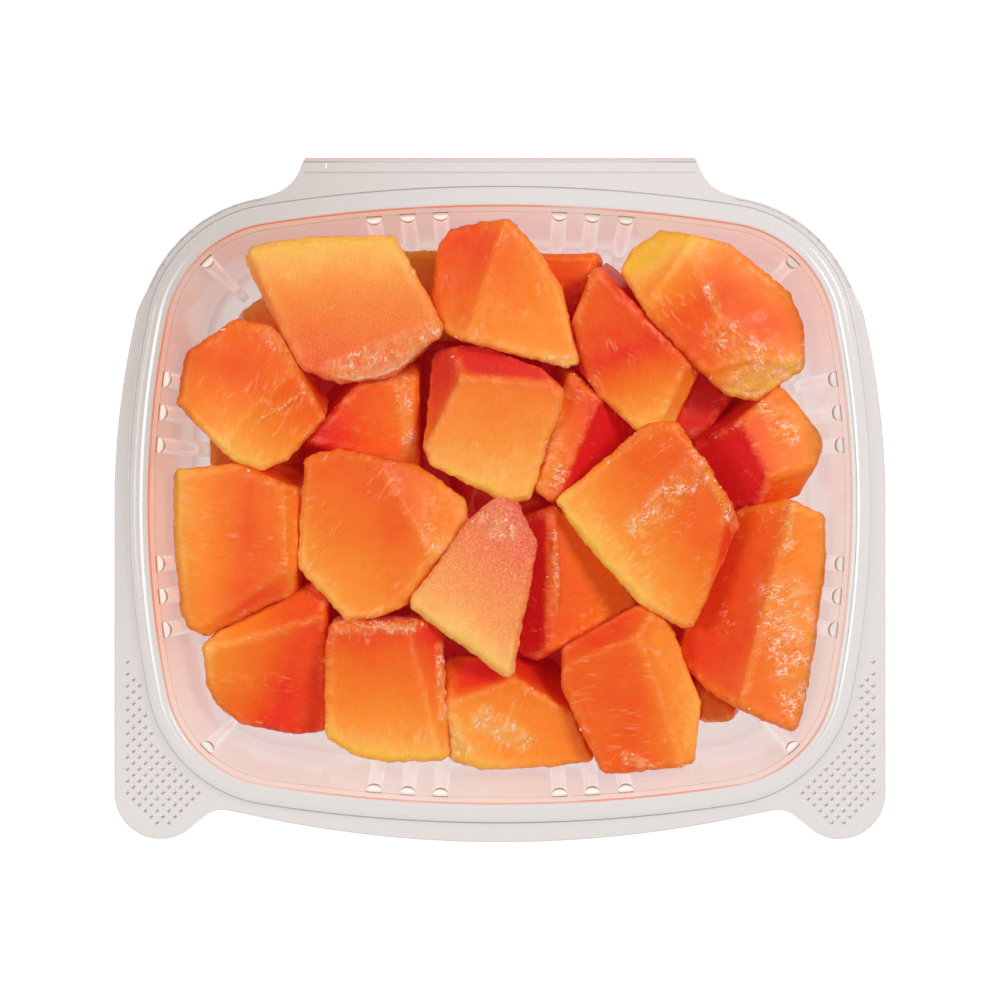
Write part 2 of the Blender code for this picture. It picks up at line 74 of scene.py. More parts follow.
# The stacking ribs of a side, from its middle, and their section
RIB_OFFSETS = (-30.3, -22.2, -14.3, 14.3, 22.2, 30.3)
RIB_HALF_WIDTH = 1.9
RIB_DEPTH = 2.0
FLANGE_HALF_X = 92.0
FLANGE_FRONT_Y = -81.65
FLANGE_FRONT_BOW = 277.0
HINGE_Y = 81.65
HINGE_HALF_X = 46.9
HINGE_END_RADIUS = 10.3
HINGE_END_MIDDLE_Y = 82.8
TAB_RADIUS = 11.1
TAB_MIDDLE_Y = -69.8
NOTCH_RADIUS = 6.7
NOTCH_MIDDLE = (66.3, -80.6)


def heading(degrees):
    angle = math.radians(degrees)
    return Vector((math.cos(angle), math.sin(angle)))


def degrees_of(vector):
    return math.degrees(math.atan2(vector.y, vector.x))


def opening_arcs():
    """The opening's eight arcs from the right, anticlockwise: centre, radius, both headings."""
    long_reach = LONG_SIDE_BOW - CORNER_RADIUS
    short_reach = SHORT_SIDE_BOW - CORNER_RADIUS
    long_centre = Vector((0.0, OPENING_HALF_Y - LONG_SIDE_BOW))
    short_centre = Vector((OPENING_HALF_X - SHORT_SIDE_BOW, 0.0))
    across = short_centre - long_centre
    along = (across.length_squared + long_reach**2 - short_reach**2) / (2 * across.length)
    aside = math.sqrt(long_reach**2 - along**2)
    unit = across.normalized()
    corner = long_centre + unit * along + Vector((unit.y, -unit.x)) * aside
    low = degrees_of(corner - short_centre)
    high = degrees_of(corner - long_centre)
    arcs = []
    for quarter in range(4):
        turned = 90 * quarter
        wide = quarter % 2 == 0
        side = short_centre if wide else long_centre
        reach = abs(side.x + side.y)
        half = low if wide else 90 - high
        radius = SHORT_SIDE_BOW if wide else LONG_SIDE_BOW
        arcs.append((-heading(turned) * reach, radius, turned - half, turned + half))
        mirror = Vector((1 if quarter in (0, 3) else -1, 1 if quarter < 2 else -1))
        middle = Vector((corner.x * mirror.x, corner.y * mirror.y))
        next_half = 90 - high if wide else low
        arcs.append((middle, CORNER_RADIUS, turned + half, turned + 90 - next_half))
    return [(c + Vector((0, OPENING_MIDDLE_Y)), r, first, last) for c, r, first, last in arcs]


def flange_outline():
    """The flange's outer edge as points, anticlockwise from the right end of the hinge strip."""
    hinge_middle = Vector((HINGE_HALF_X + HINGE_END_RADIUS, HINGE_END_MIDDLE_Y))
    hinge_end = [Vector((HINGE_HALF_X, HINGE_Y))]
    hinge_end += [hinge_middle + heading(a) * HINGE_END_RADIUS for a in range(190, 254, 6)]
    shoulder = []
    for centre, radius, first, last in opening_arcs()[:2]:
        for step in range(41):
            angle = first + (last - first) * step / 40
            widening = math.cos(math.radians(90 * min(abs(angle) / SIDE_FLANGE_SPAN, 1.0))) ** 2
            out = CORNER_FLANGE_STEP + (SIDE_FLANGE_STEP - CORNER_FLANGE_STEP) * widening
            shoulder.append(centre + heading(angle) * (radius + out))
    shoulder = [p for p in shoulder if p.y > 0]
    tab_middle = Vector((FLANGE_HALF_X - TAB_RADIUS, TAB_MIDDLE_Y))
    tab = [tab_middle + heading(a) * TAB_RADIUS for a in range(0, -142, -5)]
    notch = [Vector(NOTCH_MIDDLE) + heading(a) * NOTCH_RADIUS for a in range(46, 112, 6)]
    front = []
    for x in range(60, 0, -3):
        drop = FLANGE_FRONT_BOW - math.sqrt(FLANGE_FRONT_BOW**2 - x**2)
        front.append(Vector((x, FLANGE_FRONT_Y + drop)))
    right = hinge_end + shoulder[::-1] + tab + notch + front
    left = [Vector((-p.x, p.y)) for p in reversed(right)]
    return right + [Vector((0, FLANGE_FRONT_Y))] + left


def reach_to_outline(centre, direction, outline, least):
    """How far the flange's edge lies from a centre, looking along a direction past the bead."""
    nearest = None
    for start, end in zip(outline, outline[1:] + outline[:1]):
        edge = end - start
        cross = direction.x * edge.y - direction.y * edge.x
        if abs(cross) < 1e-9:
            continue
        gap = start - centre
        along = (gap.x * edge.y - gap.y * edge.x) / cross
        share = (gap.x * direction.y - gap.y * direction.x) / cross
        if -1e-6 <= share <= 1 + 1e-6 and along > least and (nearest is None or along < nearest):
            nearest = along
    return nearest


COLUMN_SPACING = 0.9
# Where the columns of a rib stand, as shares of its half width
RIB_SHARES = (-1.15, -1.0, -0.96, -0.85, -0.65, -0.4, 0.0, 0.4, 0.65, 0.85, 0.96, 1.0, 1.15)


def tub_columns():
    """Upright columns of the wall: the arc's centre and radius, the heading, and the rib's share."""
    found = []
    for number, (centre, radius, first, last) in enumerate(opening_arcs()):
        middle = (first + last) / 2
        ribs = RIB_OFFSETS if number % 2 == 0 else (0.0,)
        angles = {}
        for offset in ribs:
            for share in RIB_SHARES:
                angle = middle + math.degrees((offset + share * RIB_HALF_WIDTH) / radius)
                angles[angle] = math.sqrt(max(0.0, 1 - share**2))
        steps = round(math.radians(last - first) * radius / COLUMN_SPACING)
        gap = math.degrees(COLUMN_SPACING * 0.5 / radius)
        for step in range(steps):
            angle = first + (last - first) * step / steps
            if step == 0 or all(abs(angle - taken) > gap for taken in angles):
                angles[angle] = 0.0
        found += [(centre, radius, angle, angles[angle]) for angle in sorted(angles)]
    return found


# Rings of the sheet: the heel's turns, shares of the wall's height, the flat top of the ribs (how
# far above it, and how much of the rib is left), and the bead (step outside the opening, height)
HEEL_TURNS = (0, 18, 36, 54, 72)
WALL_SHARES = (0.0, 0.2, 0.4, 0.6, 0.8, 0.94, 0.985)
SHELF_RINGS = ((-0.2, 1.0), (-0.02, 0.9), (0.0, 0.78), (0.0, 0.1), (0.15, 0.0))
BEAD_RINGS = (
    (-1.0, 42.8), (-0.45, 44.6), (-0.1, 45.4), (0.35, 45.82), (0.9, RIM_HEIGHT), (1.45, 45.95),
    (1.7, 45.8), (1.95, 45.9), (2.8, 45.9), (3.6, 45.75), (4.05, 45.4), (4.3, 44.8),
    (4.45, 44.0), (4.58, 43.3), (4.8, 42.98), (5.1, FLANGE_HEIGHT),
)


def tub_profile():
    """The sheet's upper face from the floor outwards: step outside the opening, height, rib share."""
    heel_middle = SHEET + HEEL_RADIUS
    rings = [(FLOOR_EDGE_STEP, SHEET, 0.0)]
    for turn in HEEL_TURNS:
        run = HEEL_RADIUS * math.sin(math.radians(turn))
        height = heel_middle - HEEL_RADIUS * math.cos(math.radians(turn))
        rings.append((FLOOR_STEP + run, height, turn / 90))
    for share in WALL_SHARES:
        step = WALL_FOOT_STEP + (WALL_TOP_STEP - WALL_FOOT_STEP) * share
        rings.append((step, heel_middle + (SHELF_HEIGHT - heel_middle) * share, 1.0))
    rings += [(WALL_TOP_STEP, SHELF_HEIGHT + above, left) for above, left in SHELF_RINGS]
    rings += [(step, height, 0.0) for step, height in BEAD_RINGS]
    return rings


# Rings across the flange: the share of its width, and how far short of its edge
FLANGE_RINGS = ((0.35, 0.0), (0.7, 0.0), (1.0, 0.45), (1.0, 0.0))
# How far the lines round the bead dip into a rib, as a share of the rib's depth
RIB_DIP = 0.25


def store(mesh, **shares):
    """Keeps a number for each point of the mesh, for its finish to read."""
    for name, values in shares.items():
        mesh.attributes.new(name, "FLOAT", "POINT").data.foreach_set("value", values)


def tub_mesh():
    standing = tub_columns()
    outline = flange_outline()
    spots, steps, ribs, cut_edges = [], [], [], []
    rows = tub_profile()
    for out, height, share in rows:
        for centre, radius, angle, rib in standing:
            depth = RIB_DEPTH * rib * share
            spot = centre + heading(angle) * (radius + out - depth)
            spots.append((spot.x, spot.y, height))
            steps.append(out - RIB_DIP * depth)
            ribs.append(rib * share)
            cut_edges.append(0.0)
    last_out = rows[-1][0]
    for share, short_of_edge in FLANGE_RINGS:
        for centre, radius, angle, _ in standing:
            direction = heading(angle)
            reach = reach_to_outline(centre, direction, outline, radius + BEAD_FOOT_STEP)
            near = radius + last_out
            away = (reach - near) * share - short_of_edge
            spot = centre + direction * (near + away)
            spots.append((spot.x, spot.y, FLANGE_HEIGHT))
            steps.append(last_out + away)
            ribs.append(0.0)
            cut_edges.append(1.0 if share == 1.0 and short_of_edge == 0.0 else 0.0)
    count = len(standing)
    faces = [tuple(range(count))]
    for row in range(len(rows) + len(FLANGE_RINGS) - 1):
        for i in range(count):
            j = (i + 1) % count
            low = row * count
            faces.append((low + j, low + i, low + count + i, low + count + j))
    mesh = bpy.data.meshes.new("tub_sheet")
    mesh.from_pydata([Vector(p) * MM for p in spots], [], faces)
    store(mesh, step=steps, rib=ribs, cut_edge=cut_edges)
    return mesh


def show(name, mesh):
    piece = bpy.data.objects.new(name, mesh)
    bpy.context.scene.collection.objects.link(piece)
    return piece


def apply_modifiers(piece):
    """Puts what the piece's modifiers make into its own mesh."""
    graph = bpy.context.evaluated_depsgraph_get()
    made = bpy.data.meshes.new_from_object(piece.evaluated_get(graph))
    piece.modifiers.clear()
    piece.data = made
    return piece


class Value:
    """A socket of a material, so that shader maths reads as plain Python."""

    def __init__(self, finish, socket):
        self.finish = finish
        self.socket = socket

    def maths(self, operation, *others, clamp=False):
        settings = {"operation": operation, "use_clamp": clamp}
        return self.finish.node("Math", settings, dict(enumerate(others)))

    def __add__(self, other):
        return self.maths("ADD", self, other)

    def __sub__(self, other):
        return self.maths("SUBTRACT", self, other)

    def __rsub__(self, other):
        return self.maths("SUBTRACT", other, self)

    def __mul__(self, other):
        return self.maths("MULTIPLY", self, other)

    def __truediv__(self, other):
        return self.maths("DIVIDE", self, other)

    def __abs__(self):
        return self.maths("ABSOLUTE", self)

    __radd__ = __add__
    __rmul__ = __mul__

    def clamped(self):
        return self.maths("ADD", self, 0.0, clamp=True)

    def rise(self, low, high):
        """0 below low and 1 above high, eased in between."""
        settings = {"interpolation_type": "SMOOTHSTEP", "clamp": True}
        return self.finish.node("MapRange", settings, {0: self, 1: low, 2: high, 3: 0.0, 4: 1.0})

    def band(self, middle, half_width, soft):
        """1 within half_width of the middle, falling to 0 over the soft distance."""
        return 1 - abs(self - middle).rise(half_width, half_width + soft)


class Finish:
    """A material that ends in one Principled shader."""

    def __init__(self, name):
        self.material = bpy.data.materials.new(name)
        self.material.use_nodes = True
        self.tree = self.material.node_tree
        self.shader = self.tree.nodes["Principled BSDF"]

    def node(self, kind, settings=None, inputs=None, output=0):
        """Adds a node: its type, its settings, then the values or links of its sockets."""
        made = self.tree.nodes.new("ShaderNode" + kind)
        for key, value in (settings or {}).items():
            if key == "stops":
                ramp = made.color_ramp
                while len(ramp.elements) < len(value):
                    ramp.elements.new(0.5)
                for element, (place, colour) in zip(ramp.elements, value):
                    element.position = place
                    element.color = colour
            else:
                setattr(made, key, value)
        for key, value in (inputs or {}).items():
            self.feed(made.inputs[key], value)
        return Value(self, made.outputs[output])

    def feed(self, socket, value):
        if isinstance(value, Value):
            self.tree.links.new(value.socket, socket)
        else:
            socket.default_value = value

    def stored(self, name):
        return self.node("Attribute", {"attribute_name": name}, output="Fac")

    def stored_colour(self, name):
        return self.node("Attribute", {"attribute_name": name}, output="Color")

    def place(self):
        return self.node("NewGeometry", output="Position")

    def parts(self, vector):
        split = self.node("SeparateXYZ", inputs={0: vector}).socket.node
        return [Value(self, socket) for socket in split.outputs]

    def scaled(self, vector, amounts):
        return self.node("VectorMath", {"operation": "MULTIPLY"}, {0: vector, 1: amounts})

    def clouds(self, vector, scale, detail=2.0, roughness=0.5, distortion=0.0):
        inputs = {"Vector": vector, "Scale": scale, "Detail": detail, "Roughness": roughness,
                  "Distortion": distortion}
        return self.node("TexNoise", inputs=inputs)

    def mix(self, share, first, second, blend="MIX"):
        settings = {"data_type": "RGBA", "blend_type": blend}
        return self.node("Mix", settings, {0: share, 6: first, 7: second}, output=2)

    def ramp(self, share, stops):
        return self.node("ValToRGB", {"stops": stops}, {0: share})

    def bump(self, height, distance, strength=1.0, normal=None):
        inputs = {"Height": height, "Distance": distance, "Strength": strength}
        if normal is not None:
            inputs["Normal"] = normal
        return self.node("Bump", inputs=inputs)

    def set(self, **sockets):
        for key, value in sockets.items():
            self.feed(self.shader.inputs[key.replace("_", " ")], value)


def paint(red, green, blue):
    """A screen colour, each part from 0 to 255, as the linear colour that a shader takes."""
    parts = []
    for part in (red, green, blue):
        share = part / 255
        parts.append(share / 12.92 if share <= 0.04045 else ((share + 0.055) / 1.055) ** 2.4)
    return (*parts, 1.0)


SCREEN_WHITE = paint(255, 255, 255)
FLANGE_TINT = paint(194, 180, 173)
SHADE_TINT = paint(157, 131, 115)
FLOOR_TINT = paint(255, 229, 206)
WALL_TINT = paint(255, 208, 150)
WALL_SHADE_TINT = paint(178, 100, 62)
PAINTED_GLOW_COLOUR = paint(255, 184, 96)
FOLD_GREY = paint(104, 88, 84)
FRUIT_REFLECTION_ORANGE = paint(240, 130, 92)
RIB_PAINTED_HIGHLIGHT = paint(250, 246, 243)
RIB_LINE = paint(150, 92, 76)
CUT_EDGE_PINK = paint(214, 168, 154)
UNDERSIDE_TINT = paint(232, 218, 210)

# Where the painted shade grows to the left and to the back, and the fruit's painted glow in the walls
# to the back and on the left
LEFT_SHADE = (-0.02, 0.085)
BACK_SHADE = (-0.085, 0.05)
LEFT_PAINTED_GLOW = (-0.075, -0.01)
BACK_PAINTED_GLOW = (0.02, 0.06)
# Millimetres outside the opening where the wall ends, and metres up where the floor does
WALL_END = (-0.35, 0.35)
FLOOR_TOP = (0.0008, 0.004)
# Fine lines round the bead, painted highlights and painted reflections of the fruit among them:
# millimetres outside the opening, half the width, softness
LEFT_GLINT = (1.75, 0.16, 0.3)
RIGHT_GLINT = (1.62, 0.22, 0.2)
RIGHT_LINE = (1.2, 0.05, 0.1)
BEAD_FOOT_LINE = (4.62, 0.14, 0.16)
OPENING_LINE = (-0.05, 0.1, 0.2)
INNER_LINE = (-0.85, 0.05, 0.12)
# A rib's flank, its outline and the outline of its flat top, by the rib's share there
RIB_FLANK = (0.5, 0.22, 0.15)
RIB_OUTLINE = (0.1, 0.05, 0.08)
TOP_OUTLINE = (0.33, 0.12, 0.12)
# Where the hinge strip starts and how far it reaches to the side
STRIP_START = (0.0765, 0.077)
STRIP_END = (0.0466, 0.0470)
# Straight lines along the hinge strip, from the middle of the tub
HINGE_EDGE_LINE = (0.08125, 0.0001, 0.0002)
HINGE_DARK_LINE = (0.0807, 0.00006, 0.00012)
HINGE_FOLD_LINE = (0.0782, 0.00008, 0.00022)
HINGE_GLINT_X = -0.0415
HINGE_GLINT_Y = (0.0798, 0.0005, 0.0002)

plastic = Finish("clear_plastic_sheet")
step = plastic.stored("step")
rib = plastic.stored("rib")
ends = plastic.stored("end_facing")
glow = plastic.stored("glow")
glow_colour = plastic.stored_colour("glow_colour")
spot_x, spot_y, spot_z = plastic.parts(plastic.place())

leftward = (spot_x * -1).rise(*LEFT_SHADE)
shade = leftward * spot_y.rise(*BACK_SHADE)
sides = 1 - ends.rise(0.2, 0.6)
wall_share = 1 - step.rise(*WALL_END)
floor_share = 1 - spot_z.rise(*FLOOR_TOP)
# Painted glow: the walls near the fruit glow faintly in its colour, on the left and to the back
painted_fruit_glow = leftward * spot_y.rise(*LEFT_PAINTED_GLOW) + spot_y.rise(*BACK_PAINTED_GLOW) * 0.7
painted_fruit_glow = painted_fruit_glow.clamped() * glow * wall_share * (1 - floor_share)
clear = plastic.clouds(plastic.scaled(plastic.place(), (1.0, 1.0, 0.3)), 28.0)

flange_colour = plastic.mix(shade, FLANGE_TINT, SHADE_TINT)
# Painted reflection: the walls near the fruit take on its colour, pink or peach
inside = plastic.mix(floor_share, plastic.mix(glow, WALL_TINT, glow_colour), FLOOR_TINT)
inside = plastic.mix(shade * 0.6, inside, WALL_SHADE_TINT)
colour = plastic.mix(wall_share, flange_colour, inside)
# Painted highlight: the ribs' flanks on the walls are painted white, with darker outlines
flank = rib.band(*RIB_FLANK) * wall_share
colour = plastic.mix(flank * 0.7, colour, RIB_PAINTED_HIGHLIGHT)
rib_line = rib.band(*RIB_OUTLINE) * wall_share
colour = plastic.mix(rib_line * 0.4, colour, RIB_LINE)

bead_line = step.band(*BEAD_FOOT_LINE) * (0.35 + 0.65 * ends)
opening_reflection_line = step.band(*OPENING_LINE) * plastic.stored("edge_glow")
inner_reflection_line = step.band(*INNER_LINE) * 0.5
right_glint = step.band(*RIGHT_GLINT) + step.band(*OPENING_LINE) * 0.7
glint = (step.band(*LEFT_GLINT) * leftward.rise(0.7, 1.0) * sides
         + right_glint * spot_x.rise(0.05, 0.08) * sides)
right_line = step.band(*RIGHT_LINE) * spot_x.rise(0.06, 0.08) * sides
strip = spot_y.rise(*STRIP_START) * (1 - abs(spot_x).rise(*STRIP_END))
hinge_fold = spot_y.band(*HINGE_FOLD_LINE) * strip
hinge_dark = spot_y.band(*HINGE_DARK_LINE) * strip * (0.45 + 0.55 * abs(spot_x).rise(0.03, 0.044))
hinge_pink = spot_y.band(*HINGE_EDGE_LINE) * strip
hinge_glint = abs(spot_x - HINGE_GLINT_X).band(0.0, 0.0001, 0.0002) * spot_y.band(*HINGE_GLINT_Y)
cut_edge = plastic.stored("cut_edge").rise(0.3, 0.9)
dark = (bead_line * 0.85 + right_line * 0.7 + hinge_fold * 0.4 + hinge_dark * 0.9).clamped()
pink = (cut_edge * 0.55 + hinge_pink * 0.9).clamped()
colour = plastic.mix(pink, colour, CUT_EDGE_PINK)
colour = plastic.mix(dark, colour, FOLD_GREY)
# Painted reflection of the fruit: an orange line along the opening, and a fainter one inside it
colour = plastic.mix((opening_reflection_line + inner_reflection_line * glow).clamped(), colour, FRUIT_REFLECTION_ORANGE)

# Painted highlight: the flat tops of the ribs are painted white, with a darker outline
shelf = plastic.stored("shelf")
moon = shelf.rise(0.5, 0.8)
outline = shelf.band(*TOP_OUTLINE)
colour = plastic.mix(moon, colour, RIB_PAINTED_HIGHLIGHT)
colour = plastic.mix(outline * 0.75, colour, RIB_LINE)
bright = (glint + hinge_glint).clamped()
colour = plastic.mix(bright, colour, SCREEN_WHITE)

sheet_share = 0.43 + 0.1 * shade + ((clear - 0.5) * 0.16 - 0.1) * wall_share - 0.08 * floor_share
line_share = 0.35 * dark + 0.25 * pink + 0.4 * opening_reflection_line + 0.5 * bright
rib_share = 0.2 * flank + 0.2 * rib_line + 0.3 * moon + 0.45 * outline
plastic.set(
    Base_Color=colour,
    Roughness=0.12,
    IOR=1.5,
    Emission_Color=plastic.mix(painted_fruit_glow, paint(0, 0, 0), PAINTED_GLOW_COLOUR),
    Emission_Strength=0.1,
    Alpha=(sheet_share + 0.15 * painted_fruit_glow + line_share + rib_share).clamped(),
)
# The painted glow of the fruit in the walls is too weak to light the fruit, so it isn't treated as a
# lamp
plastic.material.cycles.emission_sampling = "NONE"

CHUNK_NAMES = [name for name in sorted(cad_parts) if name.startswith("chunk_")]
PEACH_GLOW = paint(255, 144, 44)
PINK_GLOW = paint(253, 186, 136)
YELLOW_SIDED = (
    "chunk_back_left", "chunk_back_right", "chunk_low_back", "chunk_left_back", "chunk_left",
)
# How far the painted reflection of the fruit's colour reaches in the plastic, and up to which height
GLOW_REACH = 0.026
GLOW_TOP = 0.034
# Where the painted reflection turns from pink to peach: to the back, to the left, and there from the
# front
PEACH_TO_BACK = (-0.01, 0.04)
PEACH_TO_LEFT = (0.03, 0.07)
PEACH_FROM_FRONT = (-0.05, -0.02)


def chunk_surfaces():
    """One search tree over every chunk's solid, and which chunk each face belongs to."""
    points, faces, owners = [], [], []
    for name in CHUNK_NAMES:
        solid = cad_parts[name].data
        start = len(points)
        points += [v.co.copy() for v in solid.vertices]
        faces += [[start + i for i in face.vertices] for face in solid.polygons]
        owners += [name] * len(solid.polygons)
    return BVHTree.FromPolygons(points, faces), owners


chunk_tree, face_owners = chunk_surfaces()


def grown(value, low, high):
    """0 below low and 1 above high, in a straight line between them."""
    return min(1.0, max(0.0, (value - low) / (high - low)))


def tint_tub(mesh):
    """Stores how much of the fruit's colour shows in the plastic near it, as a painted reflection."""
    glows, colours, edges, ends, shelves = [], [], [], [], []
    rows = tub_profile()
    shelf_rows = [i for i, row in enumerate(rows) if row[1] == SHELF_HEIGHT]
    count = len(tub_columns())
    for number, vertex in enumerate(mesh.vertices):
        spot = Vector(vertex.co)
        spot.z = min(spot.z, GLOW_TOP)
        _, _, face, distance = chunk_tree.find_nearest(spot)
        near = 1 - min(distance / GLOW_REACH, 1.0)
        backward = grown(spot.y, *PEACH_TO_BACK) * (1.0 if face_owners[face] in YELLOW_SIDED else 0.55)
        to_left = grown(-spot.x, *PEACH_TO_LEFT) * grown(spot.y, *PEACH_FROM_FRONT)
        peach = max(backward, to_left)
        glows.append(min(1.0, near * 1.3))
        colours += [p + (q - p) * peach for p, q in zip(PINK_GLOW, PEACH_GLOW)]
        edges.append(min(1.0, max(0.0, near * 1.6 - 0.2)))
        out = Vector((spot.x, spot.y * 1.15)).normalized()
        ends.append(out.y**2)
        row = number // count
        shelf_value = 0.0
        if row in shelf_rows or row == shelf_rows[-1] + 1:
            shelf_value = 1.0 if row > shelf_rows[0] else 0.3
        column_rib = rib_of_column[number % count] if row < len(rows) else 0.0
        shelves.append(shelf_value * (1.0 if column_rib > 0.05 else 0.0))
    store(mesh, glow=glows, edge_glow=edges, end_facing=ends, shelf=shelves)
    mesh.attributes.new("glow_colour", "FLOAT_COLOR", "POINT").data.foreach_set("color", colours)


rib_of_column = [column[3] for column in tub_columns()]
sheet = tub_mesh()
tint_tub(sheet)
tub = show("tub_shell", sheet)
sheet.materials.append(plastic.material)
underside = Finish("clear_plastic_underside")
underside.set(Base_Color=UNDERSIDE_TINT, Roughness=0.12, IOR=1.5, Alpha=0.2)
sheet.materials.append(underside.material)
sheet.shade_smooth()
shell = tub.modifiers.new("sheet", "SOLIDIFY")
shell.thickness = SHEET * MM
shell.offset = -1.0
shell.material_offset = 1
apply_modifiers(tub)
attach(tub, "root")
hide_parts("tub")

# The grip bumps
#
# Rows of tiny pointed bumps of the same clear plastic, pressed up from the flange at both front
# corners and staggered, so that wet fingers can hold the tub there.

# The corners of the right field, its first bump, and how far from the opening the bumps keep
GRIP_FIELD = ((89.4, -37.0), (70.0, -68.5), (78.3, -77.2), (84.4, -77.2), (89.4, -71.6))
GRIP_FIRST = (89.0, -38.5)
GRIP_COLUMNS = 16
GRIP_ROWS = 16
GRIP_COLUMN_PITCH = 1.41
GRIP_ROW_PITCH = 2.84
GRIP_LEAST_STEP = 6.5
GRIP_HALF_WIDTH = 0.72
GRIP_RISE = 0.5
GRIP_LIT = paint(255, 255, 255)
GRIP_SHADED = paint(128, 114, 110)
GRIP_PLAIN = paint(212, 202, 198)


def inside_field(x, y):
    corners = GRIP_FIELD + GRIP_FIELD[:1]
    for (x0, y0), (x1, y1) in zip(corners, corners[1:]):
        if (x1 - x0) * (y - y0) - (y1 - y0) * (x - x0) < 0:
            return False
    return True


def step_outside(x, y):
    """How far outside the opening a point by the front right corner lies."""
    centre, radius, _, _ = opening_arcs()[7]
    away = Vector((x, y)) - centre
    side_centre, side_radius, _, _ = opening_arcs()[0]
    beside = (Vector((x, y)) - side_centre).length - side_radius
    return max(away.length - radius if away.y < 0 else beside, beside)


def grip_bumps():
    points, faces, colours = [], [], []
    for column in range(GRIP_COLUMNS):
        x = GRIP_FIRST[0] - column * GRIP_COLUMN_PITCH
        for row in range(GRIP_ROWS):
            y = GRIP_FIRST[1] - (row + 0.5 * (column % 2)) * GRIP_ROW_PITCH
            if not inside_field(x, y) or step_outside(x, y) < GRIP_LEAST_STEP:
                continue
            for side in (-1, 1):
                start = len(points)
                for dx, dy in ((-1, 0), (0, -1), (1, 0), (0, 1)):
                    corner = (side * x + dx * GRIP_HALF_WIDTH, y + dy * GRIP_HALF_WIDTH)
                    points.append((*corner, FLANGE_HEIGHT))
                points.append((side * x, y, FLANGE_HEIGHT + GRIP_RISE))
                # Painted light: a lit facet in white as a painted highlight, a shaded facet as painted
                # shade
                for first, tint in enumerate((GRIP_PLAIN, GRIP_SHADED, GRIP_PLAIN, GRIP_LIT)):
                    faces.append((start + first, start + (first + 1) % 4, start + 4))
                    colours += tint * 3
    mesh = bpy.data.meshes.new("grip_bumps")
    mesh.from_pydata([Vector(p) * MM for p in points], [], faces)
    mesh.attributes.new("facet", "FLOAT_COLOR", "CORNER").data.foreach_set("color", colours)
    return mesh


grip = Finish("clear_plastic_grip")
grip.set(Base_Color=grip.stored_colour("facet"), Roughness=0.15, IOR=1.5, Alpha=0.62)
bumps = show("grip_bumps", grip_bumps())
bumps.data.materials.append(grip.material)
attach(bumps, "root")

# The chunks of papaya
#
# Ripe flesh cut by hand with a knife: yellow under the peel, orange further in, and deep red next
# to the seed hollow, with soft edges, fine fibres, torn patches and a film of juice.

# How deep in the flesh each spot of a chunk lies, in millimetres below the peel. A row is a
# point, the heading inward from it, the depth there and how much deeper each millimetre gets.
# The least of a chunk's rows counts, so a row of zeros with a depth is a limit.
PEEL = dict(
    chunk_wedge_on_top=[(-10, -33, 53, 0.0, 0.85)],
    chunk_middle=[(0, -1.5, 78, -1.0, 0.45)],
    chunk_right_of_middle=[(24, -12, 42, 1.0, 0.72), (0, 0, 0, 16.0, 0.0)],
    chunk_back_left=[(-45, 62, -86, 0.0, 0.66)],
    chunk_back_right=[
        (34, 57, -56, -3.5, 1.45), (72, 52, -127, 3.0, 1.3), (66, 26, 120, 3.0, 1.0),
        (0, 0, 0, 19.0, 0.0),
    ],
    chunk_back_middle=[(8, 33, 82, 5.0, 0.4), (18, 42, 190, 5.0, 0.6)],
    chunk_left_back=[(-71, 17.5, 65, 4.0, 0.85), (0, 0, 0, 17.0, 0.0)],
    chunk_left_of_middle=[(-42, -24, 48, 4.0, 0.5), (-12, -8, 150, 8.5, 0.7)],
    chunk_back_right_leaning=[(24, 58, -60, 17.0, 0.25), (35, 16, 110, -2.0, 1.25)],
    chunk_front_right=[(46, -50, 185, 8.5, 0.65), (0, 0, 0, 18.0, 0.0)],
    chunk_front_left=[(-28, -61, 86, 0.0, 0.7)],
    chunk_right_front=[(78, 5, -165, 5.0, 0.3), (0, 0, 0, 13.0, 0.0)],
    chunk_left=[(-78.5, -10, -5, 0.5, 1.0), (-44, 0, 180, 11.0, 0.4)],
    chunk_red_middle=[(28, -18, 180, 9.0, 0.6)],
    chunk_front_middle=[(-10, -62, 60, 2.0, 0.4)],
    chunk_left_front=[(-70, -40, -20, 5.0, 0.8), (0, 0, 0, 20.0, 0.0)],
    chunk_right=[(77, 14, 190, 5.0, 0.9)],
    chunk_behind_middle=[(8, 18, 0, 9.0, 0.8)],
    chunk_left_gap=[(-22, 22, 180, 12.0, 0.6)],
    chunk_low_back_right=[(17, 60, -90, 12.0, 1.0)],
    chunk_low_back=[(-13, 60, -90, -4.0, 0.25)],
    chunk_low_back_left=[(-60, 44, -40, 3.0, 0.6)],
    chunk_low_left=[(-70, 14, 0, 1.0, 0.8)],
    chunk_low_front_right=[(48, -57, 96, 0.0, 1.3)],
    chunk_low_middle=[(0, -20, 90, 24.0, 0.3)],
    chunk_low_under_middle=[(0, 6, 90, 22.0, 0.2)],
    chunk_low_right=[(40, 28, 0, 24.0, 0.2)],
    chunk_low_centre=[(3, 0, 0, 22.0, 0.2)],
)

